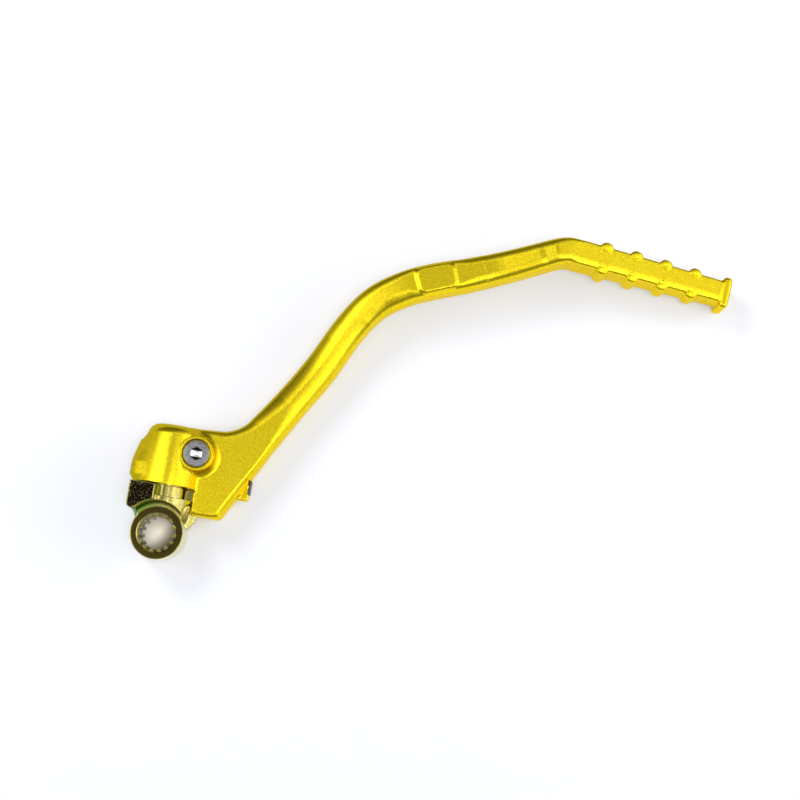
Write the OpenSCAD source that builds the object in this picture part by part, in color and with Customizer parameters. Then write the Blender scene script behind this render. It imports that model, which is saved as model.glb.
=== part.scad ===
// Folding kick start lever. It lies on its engine side, as it would on a bench.
// The origin is on the axis of the splined bore, at the hub's engine face.
// +Z runs out along that bore, and +Y runs along the pivot that the arm folds on.

/* [Hub] */
// Outside diameter of the splined hub
hub_d = 24.2; // [23:0.2:26]
// Thickness of the hub from its engine face to its bolt face
hub_h = 21; // [18:0.5:24]
// Number of teeth in the bore
spline_teeth = 15; // [12:1:18]
// Diameter of the bore at the roots of its teeth
spline_root_d = 17.6; // [16.6:0.1:18.2]
// Diameter across the tips of the teeth
spline_tip_d = 14.9; // [14:0.1:15.6]
// Width of one tooth at its tip
spline_tip_w = 1.2; // [0.8:0.1:1.4]
// Width of one tooth at its root
spline_root_w = 2.3; // [1.8:0.1:2.6]
// Diameter of the plain mouth on the engine side
mouth_d = 18.4; // [18.3:0.1:19.4]
// Depth of the plain mouth
mouth_h = 2.5; // [1:0.5:5]
// Chamfer at the outer end of the bore and on the hub's rims
hub_chamfer = 0.5; // [0.2:0.1:1]
// Radius of the wall where the bolt face is milled into the neck
spot_r = 14.1; // [13.4:0.1:14.8]
// Radius of the fillet between the bolt face and that wall
spot_fillet = 1.7; // [0.5:0.1:2]
// How far the milled wall round the bolt face leans back
spot_lean = 0.8; // [0.2:0.1:1.5]

/* [Neck and post] */
// Height of the pivot's axis over the hub's engine face
pivot_z = 13.6; // [13.5:0.1:15]
// Radius of the neck between hub and post
neck_r = 13; // [12:0.1:13.2]
// Distance of the neck's thrust face from the bore's axis
neck_y = 21.9; // [21:0.1:24]
// Radius of the collar in the recess that the swinging skirt passes
collar_r = 9.5; // [9.2:0.1:10.5]
// Length of the recess
collar_l = 5.1; // [4:0.1:6]
// Radius of the pocket milled into the neck over the stop ear
pocket_r = 7; // [5:0.1:8]
// Distance of that pocket's centre from the pivot's axis
pocket_x = 16.7; // [15.5:0.1:18]
// Distance of that pocket's centre from the bore's axis
pocket_y = 10.2; // [9:0.1:12]
// Diameter of the post
post_d = 18; // [17:0.25:18.5]
// Length of the post beyond the thrust face
post_l = 22; // [20:0.5:24]
// Chamfer at the end of the post
post_chamfer = 1; // [0.5:0.25:2]

/* [Stops] */
// Left side of the stop block
block_left = -15; // [-16:0.1:-14]
// Near side of the stop block
block_near = 9; // [8:0.1:11]
// Height of the stop block over the pivot's axis
block_rise = 16.4; // [15:0.2:18]
// Corner radius of the stop block
block_round = 2.6; // [1:0.1:3.5]
// Height of the stop ear
ear_h = 8.4; // [6:0.2:10]
// How far the stop ear reaches to the side
ear_reach = 15.7; // [15:0.1:17]
// Rounding of the stop ear's corner
ear_round = 1.6; // [0.8:0.1:2.4]
// Far end of the stop ear
ear_far = 15.6; // [14:0.2:17]

/* [Barrel] */
// Radius of the barrel
barrel_r = 13.5; // [13.3:0.1:14.5]
// Far end of the barrel
barrel_far = 50; // [49:0.2:54]
// Rounding of the barrel's far end
barrel_round = 4.6; // [2:0.2:6]
// Play between the barrel and the thrust face
thrust_gap = 0.4; // [0.2:0.05:0.6]
// Radial play of the post in the barrel
post_play = 0.05; // [0.02:0.01:0.1]
// Space left at the end of the post
post_end_gap = 1; // [0.5:0.25:2]

/* [Skirt and gusset] */
// Height of the arm's flat face over the pivot's axis
face_rise = 2.9; // [2:0.1:4]
// Depth of the gusset from its flat face down
gusset_depth = 15.4; // [13:0.2:16]
// Rounding of the gusset's edges
gusset_round = 6; // [3:0.25:7]
// Near edge of the skirt
skirt_near = 10.6; // [10:0.1:12]
// Radius of the fillet between the barrel and the flat face
web_fillet = 1.5; // [1:0.25:5]
// Play between the skirt and the neck that it swings round
swing_gap = 0.3; // [0.2:0.05:0.5]
// Play between the skirt and the stop ear when the arm is folded
ear_gap = 0.3; // [0.2:0.05:0.5]

/* [Screw and its boss] */
// Distance of the screw from the pivot's axis
screw_x = 12; // [11.6:0.1:12.4]
// Distance of the screw from the bore's axis
screw_y = 38.2; // [37:0.2:39.4]
// Diameter of the screw's shank
shank_d = 8; // [7:0.2:8.2]
// Diameter of the screw's head
head_d = 12.5; // [11:0.1:13]
// Height of the screw's head
head_h = 4.6; // [3:0.1:5]
// Distance across the points of the screw's socket
socket_d = 5.9; // [5:0.1:6.5]
// Depth of the socket
socket_h = 2.8; // [1.5:0.1:3]
// Radius of the boss at its top
boss_r = 7.8; // [7.4:0.1:8.4]
// Draft of the boss: how much wider it is at its foot
boss_draft = 0.7; // [0.2:0.1:1.2]
// Height of the boss over the flat face
boss_h = 10; // [8:0.2:11]
// Radius of the cove at the foot of the boss
cove_r = 2.7; // [1:0.1:3.2]
// Depth of the counterbore over the screw's head
head_sink = 1.1; // [0.4:0.1:2]
// Play round the screw's head
head_play = 0.2; // [0.1:0.05:0.4]
// Play round the screw's shank
shank_play = 0.08; // [0.04:0.01:0.12]
// Play between the shank and the post's groove
groove_play = 0.15; // [0.08:0.01:0.25]

/* [Detent and seal] */
// Diameter of the detent ball
ball_d = 3.5; // [3:0.1:3.8]
// Distance of the ball from the pivot's axis
ball_track_r = 11.6; // [11.4:0.1:11.8]
// How deep the ball sits in its track
ball_sink = 0.45; // [0.3:0.05:0.6]
// Length of the free spring
spring_l = 9.6; // [7:0.2:12]
// Diameter of the spring's wire
spring_wire_d = 0.5; // [0.3:0.05:0.6]
// Turns of the spring
spring_turns = 7; // [5:1:9]
// Radius of the boss that holds the ball and spring
bulge_r = 5.4; // [4.5:0.1:5.6]
// Distance of that boss from the pivot's axis
bulge_x = 12.4; // [12:0.1:13]
// Thickness of the dust seal's section
seal_d = 1; // [0.8:0.05:1.2]

/* [Lug and buffer] */
// Height of the lug
lug_h = 7.6; // [5:0.2:9]
// Depth of the lug's pocket
pocket_h = 2.6; // [1:0.2:4]
// Diameter of the buffer's stem
stem_d = 3; // [2:0.1:4]
// Length of the buffer's stem
stem_l = 3; // [2:0.2:4]
// Thickness of the buffer's pad
buffer_t = 1.1; // [0.6:0.1:2]

/* [Arm] */
// Height of the pad over the arm's face
pad_rise = 0.9; // [0.4:0.1:1.5]
// Length of the pad
pad_l = 18.5; // [14:0.5:24]
// Rings of the arm's surface for each stretch between stations
arm_steps = 4; // [3:1:6]

/* [Pedal] */
// Length of the pedal from the knee to its end
pedal_l = 73.4; // [70:0.2:80]
// Width of the pedal at the knee
pedal_w0 = 11.7; // [10:0.1:13]
// Width of the pedal at its end
pedal_w1 = 10.3; // [9:0.1:12]
// Depth of the pedal at the knee
pedal_d0 = 19; // [16:0.5:22]
// Depth of the pedal at its end
pedal_d1 = 12.6; // [10:0.2:14]
// Height of the pedal's top face over the bench at its end
pedal_end_z = 16; // [14:0.2:18]
// Number of grip ribs
rib_count = 4; // [2:1:5]
// Distance from the knee to the first rib
rib_first = 11.3; // [9:0.1:14]
// Distance from one rib to the next
rib_pitch = 14.6; // [11:0.1:15]
// How far a rib stands out
rib_h = 2.1; // [1.5:0.1:3]
// Half the width of a rib
rib_half_w = 2.9; // [2:0.1:3.5]
// How far the end flange stands out on each side
flange_h = 2.6; // [1:0.1:4]
// How far the end flange rises over the top face
flange_rise = 1.6; // [0:0.1:3]
// Thickness of the end flange
flange_t = 4.6; // [3:0.2:6]

/* [Hidden] */
eps = 0.01;
far = 60;
round_fn = 96;
hull_fn = 32;
post_r = post_d / 2;
bore_r = post_r + post_play;
barrel_y = neck_y + thrust_gap;
face_z = pivot_z + face_rise;
gusset_z = face_z - gusset_depth;
boss_top_z = face_z + boss_h;
seat_z = boss_top_z - head_sink - head_h;
swing_r = neck_r + swing_gap;
shank_r = shank_d / 2;
shank_end_z = gusset_z + 2;
groove_r = shank_r + groove_play;
ball_y = neck_y + ball_d / 2 - ball_sink + thrust_gap / 4;
ball_hole_r = ball_d / 2 + post_play;
spring_y = ball_y + ball_d / 2;
ball_hole_far = spring_y + spring_l;
spring_r = (ball_d - spring_wire_d) / 2 - 2 * post_play;
seal_y = neck_y + 3;
seal_groove_r = bore_r - seal_d - 2 * post_play;
block_right = -face_rise - swing_gap;
lug_z = gusset_z + 0.6;
lug_face_x = 37.4;
lug_near = 21.5;
buffer_y = lug_near + 6.2;
buffer_l = 6.4;
buffer_z = lug_z + lug_h / 2;

// Stations along the middle of the arm, from inside the gusset to the knee:
// x, y, rise of the top face over the gusset's, width, depth, corner radius.
ARM_STATIONS = [
    [24.9, 28.9, -0.2, 16.0, 14.6, 4.6],
    [31.6, 39.9, -0.2, 17.6, 14.8, 4.8],
    [38.3, 51.0, -0.1, 17.0, 15.2, 5.2],
    [49.3, 68.8, 0.0, 15.5, 15.4, 5.6],
    [60.6, 87.7, 0.4, 15.4, 15.4, 5.6],
    [71.0, 108.3, 3.2, 15.1, 15.4, 5.2],
    [81.0, 122.0, 6.0, 15.1, 15.4, 4.8],
    [93.6, 130.9, 7.6, 15.1, 15.6, 4.0],
    [107.0, 136.9, 8.0, 15.0, 15.8, 3.4],
    [120.6, 141.7, 8.0, 14.5, 16.0, 3.2],
    [134.0, 147.0, 8.7, 13.7, 16.8, 3.0],
    [147.4, 152.6, 10.2, 12.9, 17.8, 3.0],
    [160.0, 158.2, 11.6, 12.2, 18.8, 3.0],
    [166.6, 160.3, 11.3, 12.0, 19.0, 2.9],
    [172.4, 160.0, 10.8, 11.7, 19.0, 2.8],
    [178.4, 159.6, 10.0, 11.6, 18.5, 2.8]
];
LAST_SPAN = len(ARM_STATIONS) - 3;
KNEE = ARM_STATIONS[LAST_SPAN + 1];
pad_station = 8.06;
pedal_dir = [0.9972, -0.0744];
pedal_round = 2.8;
corner_steps = 4;

// Points of an arc about a centre, from one angle to another
function arc(cx, cy, r, from, to, n = 8) =
    [for (i = [0:n]) let (a = from + (to - from) * i / n) [cx + r * cos(a), cy + r * sin(a)]];

// Point on the smooth curve through four stations
function blend(p0, p1, p2, p3, u) =
    0.5 * (2 * p1 + (p2 - p0) * u + (2 * p0 - 5 * p1 + 4 * p2 - p3) * u * u
    + (3 * p1 - p0 - 3 * p2 + p3) * u * u * u);

function arm_point(t) =
    let (k = min(floor(t), LAST_SPAN), u = t - k)
    blend(ARM_STATIONS[max(k - 1, 0)], ARM_STATIONS[k], ARM_STATIONS[k + 1], ARM_STATIONS[min(k + 2, len(ARM_STATIONS) - 1)], u);

// Closed outline of a rounded rectangle, across and up
function section(w, d, r) =
    [for (c = [0:3]) let (sx = (c == 0 || c == 3) ? 1 : -1, sy = c < 2 ? 1 : -1)
        for (i = [0:corner_steps]) let (a = 90 * c + 90 * i / corner_steps)
            [sx * (w / 2 - r) + r * cos(a), sy * (d / 2 - r) + r * sin(a)]];

// One ring of the arm: the section stood upright across its direction
function ring(x, y, dir, top, w, d, r) =
    [for (p = section(w, d, min(r, w / 2 - 0.1, d / 2 - 0.1)))
        [x + dir[1] * p[0], y - dir[0] * p[0], top - d / 2 + p[1]]];

function unit(v) = v / norm(v);

// Rise of the pad, full over its length and gone just past its ends
pad_ramp = 0.7;
function pad_lift(s) = max(0, min(1, (pad_l / 2 + pad_ramp - abs(s)) / pad_ramp));

// Distance along the arm from the middle of the pad, near it
function pad_distance(t) =
    let (a = arm_point(t), b = arm_point(pad_station)) (t < pad_station ? -1 : 1) * norm([a[0] - b[0], a[1] - b[1]]);

// Places of the rings: even steps, with closer ones at the ends of the pad
span_l = 14.4;
PAD_EDGES = [for (side = [-1, 1]) for (k = [0, 1]) pad_station + side * (pad_l / 2 + k * pad_ramp) / span_l];
function sorted(v) = len(v) <= 1 ? v :
    let (m = v[floor(len(v) / 2)]) concat(
        sorted([for (x = v) if (x < m) x]), [m], sorted([for (x = v) if (x > m) x]));
function clear_of(v, marks) = [for (x = v) if (min([for (m = marks) abs(x - m)]) > 0.08) x];
ARM_PLACES = sorted(concat(
    clear_of([for (k = [0:LAST_SPAN]) for (i = [0:arm_steps - 1]) k + i / arm_steps], PAD_EDGES), PAD_EDGES));

ARM_RINGS = [for (t = ARM_PLACES)
    let (p = arm_point(t), q = arm_point(t + 0.01), lift = pad_lift(pad_distance(t)))
    ring(p[0], p[1], unit([q[0] - p[0], q[1] - p[1]]), face_z + p[2] + pad_rise * lift, p[3], p[4] + pad_rise * lift,
        p[5] - lift)];

// Places of the pedal's rings, measured from the knee: a fan of them over each rib
RIB_FAN = [-1, -0.86, -0.5, 0, 0.5, 0.86, 1];
function rib_swell(u) = rib_h * sqrt(max(0, 1 - u * u));
PEDAL_RINGS = [for (i = [0:rib_count - 1]) for (u = RIB_FAN)
    pedal_ring(rib_first + i * rib_pitch + u * rib_half_w, rib_swell(u), 0, 0)];

// One ring of the pedal: swell on each side, rise on top, drop below
function pedal_ring(s, swell, rise, drop) =
    let (k = s / pedal_l, top = face_z + KNEE[2] + (pedal_end_z - face_z - KNEE[2]) * k,
        d = pedal_d0 + (pedal_d1 - pedal_d0) * k)
    ring(KNEE[0] + pedal_dir[0] * s, KNEE[1] + pedal_dir[1] * s, pedal_dir, top + rise,
        pedal_w0 + (pedal_w1 - pedal_w0) * k + 2 * swell, d + rise + drop, pedal_round);

// Drop that brings the end flange down to the bench
flange_drop = pedal_end_z - pedal_d1;
FLANGE_RINGS = [
    pedal_ring(pedal_l - flange_t - 2.4, 0, 0, 0),
    pedal_ring(pedal_l - flange_t - 0.8, 0.25 * flange_h, 0.2 * flange_rise, 0.35 * flange_drop),
    pedal_ring(pedal_l - flange_t + 0.2, 0.75 * flange_h, 0.65 * flange_rise, 0.85 * flange_drop),
    pedal_ring(pedal_l - flange_t + 1.2, flange_h, flange_rise, flange_drop),
    pedal_ring(pedal_l - 1.6, flange_h, flange_rise, flange_drop),
    pedal_ring(pedal_l - 0.5, flange_h - 0.7, flange_rise - 0.7, flange_drop - 0.7),
    pedal_ring(pedal_l, flange_h - 2, flange_rise - 2, flange_drop - 1.8)
];

// Closed skin over a list of rings, in triangles
module skin(rings) {
    n = len(rings[0]);
    last = len(rings) - 1;
    points = [for (r = rings) for (p = r) p];
    walls = [for (i = [0:last - 1]) for (j = [0:n - 1])
        let (a = i * n + j, b = i * n + (j + 1) % n)
        each [[a, b, b + n], [a, b + n, a + n]]];
    near_cap = [for (j = [n - 1:-1:0]) j];
    far_cap = [for (j = [0:n - 1]) last * n + j];
    polyhedron(points = points, faces = concat(walls, [near_cap, far_cap]), convexity = 6);
}

// Stands children on the pivot's axis, with their own z running out along +Y
module on_pivot(y = 0) {
    translate([0, y, pivot_z]) rotate([-90, 0, 0]) children();
}

module hub_ring() {
    rotate_extrude($fn = round_fn) polygon([
        [0, 0], [hub_d / 2 - hub_chamfer, 0], [hub_d / 2, hub_chamfer],
        [hub_d / 2, hub_h - hub_chamfer], [hub_d / 2 - hub_chamfer, hub_h], [0, hub_h]]);
}

module neck() {
    root_r = hub_d / 2 - 1.4;
    on_pivot(0) rotate_extrude($fn = round_fn) polygon([
        [0, 2], [root_r, 2], [neck_r, 9], [neck_r, neck_y], [0, neck_y]]);
}

// Block that the skirt's face meets when the arm is unfolded
module stop_block() {
    top_z = pivot_z + block_rise;
    intersection() {
        linear_extrude(top_z) polygon(concat(
            [[0, neck_y - thrust_gap], [block_left, neck_y - thrust_gap]],
            arc(block_left + block_round, block_near + block_round, block_round, 180, 270),
            [[0, block_near]]));
        translate([0, far, 0]) rotate([90, 0, 0]) linear_extrude(far) polygon(concat(
            [[0, pivot_z], [block_left, hub_chamfer], [block_left, top_z - block_round]],
            arc(block_left + block_round, top_z - block_round, block_round, 180, 90),
            [[block_right, top_z], [block_right, pivot_z]]));
    }
}

// Ear that the skirt rests on when the arm is folded
module stop_ear() {
    corner = [ear_reach - ear_round, pocket_y + 0.6];
    linear_extrude(ear_h) polygon(concat(
        [[0, 0], [11, 3]],
        arc(corner[0], corner[1], ear_round, -32, 64),
        [[ear_reach - 2.2, ear_far], [0, ear_far]]));
}

// Round pocket over the ear
module ear_pocket() {
    translate([pocket_x, pocket_y, ear_h]) cylinder(r = pocket_r, h = far, $fn = round_fn);
}

module post() {
    difference() {
        on_pivot(neck_y - eps) rotate_extrude($fn = round_fn) polygon([
            [0, 0], [post_r, 0], [post_r, post_l - post_chamfer], [post_r - post_chamfer, post_l], [0, post_l]]);
        on_pivot(screw_y) rotate_extrude($fn = round_fn) translate([screw_x, 0]) circle(r = groove_r, $fn = 48);
        on_pivot(seal_y) rotate_extrude($fn = round_fn)
            translate([seal_groove_r, -0.7 * seal_d]) square([seal_d * 3, 1.4 * seal_d]);
    }
}

// Bolt face milled down into the neck, with a fillet and a wall that leans back
module spot_face() {
    top = pivot_z + block_rise + 1;
    rotate_extrude($fn = round_fn) polygon(concat(
        [[0, hub_h]],
        arc(spot_r - spot_fillet, hub_h + spot_fillet, spot_fillet, 270, 360),
        [[spot_r + spot_lean, top], [0, top]]));
}

// Room for the skirt on the outer side, round the collar
module swing_recess() {
    intersection() {
        on_pivot(neck_y - collar_l) difference() {
            cylinder(r = far / 2, h = collar_l + 1, $fn = round_fn);
            translate([0, 0, -1]) cylinder(r = collar_r, h = collar_l + 2, $fn = round_fn);
        }
        translate([block_right, 0, pivot_z - face_rise]) cube([far, far, far]);
    }
}

module spline_bore() {
    difference() {
        translate([0, 0, -1]) cylinder(d = spline_root_d, h = hub_h + 2, $fn = round_fn);
        for (i = [0:spline_teeth - 1]) rotate(i * 360 / spline_teeth) translate([0, 0, mouth_h])
            linear_extrude(hub_h - mouth_h - hub_chamfer) polygon([
                [spline_tip_d / 2, -spline_tip_w / 2], [spline_root_d / 2 + 0.5, -spline_root_w / 2],
                [spline_root_d / 2 + 0.5, spline_root_w / 2], [spline_tip_d / 2, spline_tip_w / 2]]);
    }
    translate([0, 0, -1]) cylinder(d = mouth_d, h = mouth_h + 1, $fn = round_fn);
    translate([0, 0, hub_h - hub_chamfer])
        cylinder(d1 = spline_root_d, d2 = spline_root_d + 2.2 * hub_chamfer, h = hub_chamfer + eps, $fn = round_fn);
}

// Track that the detent ball runs in, round the thrust face
module ball_track() {
    on_pivot(ball_y - thrust_gap / 4) rotate_extrude($fn = round_fn)
        translate([ball_track_r, 0]) circle(d = ball_d + 2 * post_play, $fn = 32);
}

module knuckle() {
    color("darkkhaki") difference() {
        union() {
            hub_ring();
            neck();
            stop_block();
            stop_ear();
            post();
        }
        spot_face();
        ear_pocket();
        swing_recess();
        spline_bore();
        ball_track();
    }
}

module barrel() {
    l = barrel_far - barrel_y;
    on_pivot(barrel_y) rotate_extrude($fn = round_fn) polygon(concat(
        [[0, 0], [barrel_r, 0]],
        arc(barrel_r - barrel_round, l - barrel_round, barrel_round, 0, 90),
        [[0, l]]));
}

// Boss along the barrel's side, round the ball and spring
module detent_boss() {
    translate([-bulge_x, barrel_y, pivot_z]) rotate([-90, 0, 0]) rotate_extrude($fn = 64) polygon([
        [0, 0], [ball_hole_r + 0.9, 0], [bulge_r, 3], [bulge_r, 9], [0.85 * bulge_r, 12.6], [0.42 * bulge_r, 19], [0, 20.4]]);
}

// Corners of the gusset, before its edges are rounded
GUSSET_CORNERS = [[3, barrel_far], [3, skirt_near], [26.4, skirt_near], [45.3, 45.8], [33, barrel_far]];

// Corner of an outline, inset and rounded: points in step with the outline
function round_corner(a, b, c, inset, r) =
    let (u = unit(a - b), v = unit(c - b), half = acos(u * v) / 2, mid = unit(u + v),
        centre = b + mid * ((r + inset) / sin(half)), turn = 90 - half, aim = atan2(-mid[1], -mid[0]))
    [for (i = [-3:3]) centre + r * [cos(aim + turn * i / 3), sin(aim + turn * i / 3)]];

// One level of the gusset, inset from its outline
function gusset_ring(inset, z) =
    let (n = len(GUSSET_CORNERS), q = GUSSET_CORNERS)
    [for (i = [0:n - 1]) each [for (p = round_corner(q[(i + n - 1) % n], q[i], q[(i + 1) % n], inset, gusset_round + 0.4 - inset))
        [p[0], p[1], z]]];

// Rounded web between the barrel and the arm, with the skirt at its near end
module gusset() {
    r = gusset_round;
    skin(concat(
        [for (a = [90:-15:0]) gusset_ring(r * (1 - cos(a)), face_z - r * (1 - sin(a)))],
        [for (a = [0:15:90]) gusset_ring(r * (1 - cos(a)), gusset_z + r * (1 - sin(a)))]));
}

// Fillet between the barrel's side and the flat face, from the mouth to the boss
module web_blend() {
    rise = face_z - pivot_z;
    cx = sqrt(pow(barrel_r + web_fillet, 2) - pow(rise + web_fillet, 2));
    aim = atan2(rise + web_fillet, cx);
    sink = 0.1;
    translate([0, barrel_y, pivot_z]) rotate([-90, 0, 0]) mirror([0, 1, 0]) linear_extrude(screw_y - barrel_y)
        polygon(concat(
            [[cx, rise - sink - 1], [cx, rise - sink]],
            arc(cx, rise + web_fillet, web_fillet + sink, 269, 180 + aim + 1),
            [[(barrel_r - 2) * cos(aim + 4), (barrel_r - 2) * sin(aim + 4)], [barrel_r - 2, rise - sink - 1]]));
}

module screw_boss() {
    foot_z = face_z - cove_r;
    translate([screw_x, screw_y, foot_z])
        cylinder(r1 = boss_r + boss_draft, r2 = boss_r, h = boss_top_z - foot_z, $fn = round_fn);
    inner = boss_r + boss_draft - 0.6;
    outer = boss_r + boss_draft - 0.15 + cove_r;
    translate([screw_x, screw_y, 0]) rotate_extrude($fn = round_fn) polygon(concat(
        [[inner, face_z - cove_r], [outer, face_z - 0.3]],
        arc(outer, face_z + cove_r, cove_r, 270, 180),
        [[inner, face_z + cove_r]]));
}

// Lug on the arm's inner edge
module lug() {
    translate([0, 0, lug_z]) linear_extrude(lug_h) polygon(concat(
        [[28, lug_near], [lug_face_x - 1.8, lug_near]],
        arc(lug_face_x - 1.6, lug_near + 1.6, 1.6, 280, 360),
        [[lug_face_x + 0.3, lug_near + 9.8], [lug_face_x - 0.6, lug_near + 13.8], [30, lug_near + 13.8]]));
}

module lug_pocket() {
    translate([0, 0, lug_z + lug_h - pocket_h]) linear_extrude(pocket_h + 1) polygon([
        [lug_face_x - 4.2, lug_near + 1.7], [lug_face_x - 1.4, lug_near + 2],
        [lug_face_x - 0.8, lug_near + 9.4], [lug_face_x - 1.4, lug_near + 10]]);
}

module arm_cuts() {
    on_pivot(barrel_y - 1) cylinder(r = bore_r, h = post_l + post_end_gap + 1 - thrust_gap, $fn = round_fn);
    on_pivot(0) cylinder(r = swing_r, h = barrel_y, $fn = round_fn);
    translate([0, 0, gusset_z - 2])
        cube([ear_reach + 2 * ear_gap, ear_far + 2 * ear_gap, ear_h + ear_gap - gusset_z + 2]);
    translate([screw_x, screw_y, gusset_z - 2]) cylinder(r = shank_r + shank_play, h = boss_h + far, $fn = 64);
    translate([screw_x, screw_y, seat_z]) cylinder(d = head_d + 2 * head_play, h = far, $fn = 64);
    translate([-ball_track_r, barrel_y - 1, pivot_z]) rotate([-90, 0, 0])
        cylinder(r = ball_hole_r, h = ball_hole_far - barrel_y + 1, $fn = 48);
    lug_pocket();
    translate([lug_face_x - stem_l, buffer_y, buffer_z]) rotate([0, 90, 0])
        cylinder(d = stem_d + 2 * post_play, h = stem_l + 3, $fn = 48);
    translate([lug_face_x - buffer_t / 2, buffer_y - buffer_l / 2 - 0.1, lug_z - 1])
        cube([3, buffer_l + 0.2, lug_h + 2]);
}

module kick_arm() {
    color("gold") difference() {
        union() {
            barrel();
            detent_boss();
            gusset();
            web_blend();
            screw_boss();
            lug();
            skin(concat(ARM_RINGS, PEDAL_RINGS, FLANGE_RINGS));
        }
        arm_cuts();
    }
}

// Retaining screw with a six-lobe socket
module pivot_screw() {
    lobe_r = socket_d * 0.14;
    color("slategray") translate([screw_x, screw_y, 0]) difference() {
        union() {
            translate([0, 0, seat_z]) rotate_extrude($fn = 64) polygon([
                [0, 0], [head_d / 2 - 0.3, 0], [head_d / 2, 0.3], [head_d / 2, head_h - 0.5],
                [head_d / 2 - 0.5, head_h], [0, head_h]]);
            translate([0, 0, shank_end_z]) cylinder(r1 = shank_r - 0.6, r2 = shank_r, h = 0.6, $fn = 64);
            translate([0, 0, shank_end_z + 0.6]) cylinder(r = shank_r, h = seat_z - shank_end_z, $fn = 64);
        }
        translate([0, 0, seat_z + head_h - socket_h]) linear_extrude(socket_h + 1) difference() {
            circle(d = socket_d, $fn = 48);
            for (i = [0:5]) rotate(i * 60 + 30) translate([socket_d * 0.5, 0]) circle(r = lobe_r, $fn = 24);
        }
    }
}

// Rubber buffer pressed into the outer edge of the lug
module bump_stop() {
    color("dimgray") translate([lug_face_x - buffer_t / 2, buffer_y, buffer_z]) {
        translate([0, -buffer_l / 2, -lug_h / 2]) cube([buffer_t, buffer_l, lug_h]);
        translate([-stem_l + buffer_t, 0, 0]) rotate([0, 90, 0]) cylinder(d = stem_d, h = stem_l, $fn = 48);
    }
}

module detent_ball() {
    color("silver") translate([-ball_track_r, ball_y, pivot_z]) sphere(d = ball_d, $fn = 48);
}

// Coil spring behind the ball
module detent_spring() {
    steps = spring_turns * 12;
    length = spring_l - spring_wire_d - 2 * post_play;
    sides = 6;
    rings = [for (i = [0:steps]) let (a = i * 30, c = [cos(a), 0, sin(a)])
        [for (j = [0:sides - 1]) let (b = -j * 360 / sides)
            (spring_r - spring_wire_d / 2 * (1 - cos(b))) * c
            + [0, length * i / steps + spring_wire_d / 2 * sin(b), 0]]];
    color("silver") translate([-ball_track_r, spring_y + spring_wire_d / 2 + post_play, pivot_z]) skin(rings);
}

// O-ring in its groove at the mouth of the barrel
module dust_seal() {
    color("black") on_pivot(seal_y) rotate_extrude($fn = round_fn)
        translate([bore_r - post_play - seal_d / 2, 0]) circle(d = seal_d, $fn = 32);
}

knuckle();
kick_arm();
pivot_screw();
bump_stop();
detent_ball();
detent_spring();
dust_seal();
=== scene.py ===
"""Looks of the folding kick start lever: blasted and anodised forging, plated steel knuckle, dark screw."""
import math

import bpy
import numpy as np
from mathutils import Matrix, Vector


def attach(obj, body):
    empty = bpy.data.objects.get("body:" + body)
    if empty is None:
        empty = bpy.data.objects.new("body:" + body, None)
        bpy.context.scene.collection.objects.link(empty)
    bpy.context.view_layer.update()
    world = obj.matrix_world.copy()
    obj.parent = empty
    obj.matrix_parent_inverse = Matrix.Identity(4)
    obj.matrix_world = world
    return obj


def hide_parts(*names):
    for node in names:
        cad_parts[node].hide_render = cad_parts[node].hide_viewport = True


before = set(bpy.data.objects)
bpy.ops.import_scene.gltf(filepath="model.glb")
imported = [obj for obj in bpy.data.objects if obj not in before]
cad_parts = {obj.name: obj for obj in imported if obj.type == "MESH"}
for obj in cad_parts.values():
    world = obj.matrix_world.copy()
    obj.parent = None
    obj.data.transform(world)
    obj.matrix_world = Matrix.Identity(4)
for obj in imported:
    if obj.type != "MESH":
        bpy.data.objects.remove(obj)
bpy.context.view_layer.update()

MM = 0.001

# Sizes in millimetres, the same as in the part's source
HUB_R, HUB_H = 12.1, 21.0
ROOT_R, TIP_R, TEETH = 8.8, 7.45, 15
TOOTH_TIP_HALF, TOOTH_SPREAD = 0.6, 0.55
MOUTH_R, MOUTH_H = 9.2, 2.5
# Milled bolt face: its wall's radius, how far the wall leans out, from what height and over what height
SPOT_R, SPOT_LEAN, SPOT_LEAN_Z, SPOT_LEAN_H, SPOT_ROUND = 14.1, 0.8, 22.7, 8.3, 1.7
PIVOT_Z, FACE_Z = 13.6, 16.5
NECK_R, NECK_ROOT_R, NECK_Y = 13.0, 10.7, 21.9
COLLAR_R, COLLAR_Y, COLLAR_LOW = 9.5, 16.8, 2.9
POST_R, POST_END = 9.0, 43.9
SEAL_Y, SEAL_HALF, SEAL_FLOOR_R = 24.9, 0.7, 7.95
BALL_TRACK_R, BALL_TRACK_Y, BALL_TRACK_ROUND = 11.6, 23.1, 1.8
BORE_R, BORE_END = 9.05, 44.9
BLOCK_LEFT, BLOCK_NEAR, BLOCK_RIGHT, BLOCK_FAR, BLOCK_TOP = -15.0, 9.0, -3.2, 21.5, 30.0
BLOCK_SLANT = (0.658, 0.753)
EAR = [(0, 15.6), (0, 0), (11, 3), (14.4, 7.6), (15.7, 11.5), (13.6, 15.6)]
EAR_TOP, EAR_ROUND, EAR_FALL = 8.4, 1.4, 0.16
# Room that the arm leaves for the ear: as far as this x and y, and this far over the ear's top
EAR_ROOM, EAR_GAP = (16.3, 16.2), 0.3
EAR_POCKET, EAR_POCKET_R = (16.7, 10.2), 7.0
BARREL_R, BARREL_Y, BARREL_FAR, BARREL_ROUND, BARREL_TAPER = 13.5, 22.3, 50.0, 4.6, 1.3
SWING_R = 13.3
BULGE_X, BALL_X, BALL_HOLE_R, BALL_HOLE_FAR = -12.4, -11.6, 1.8, 34.65
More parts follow.
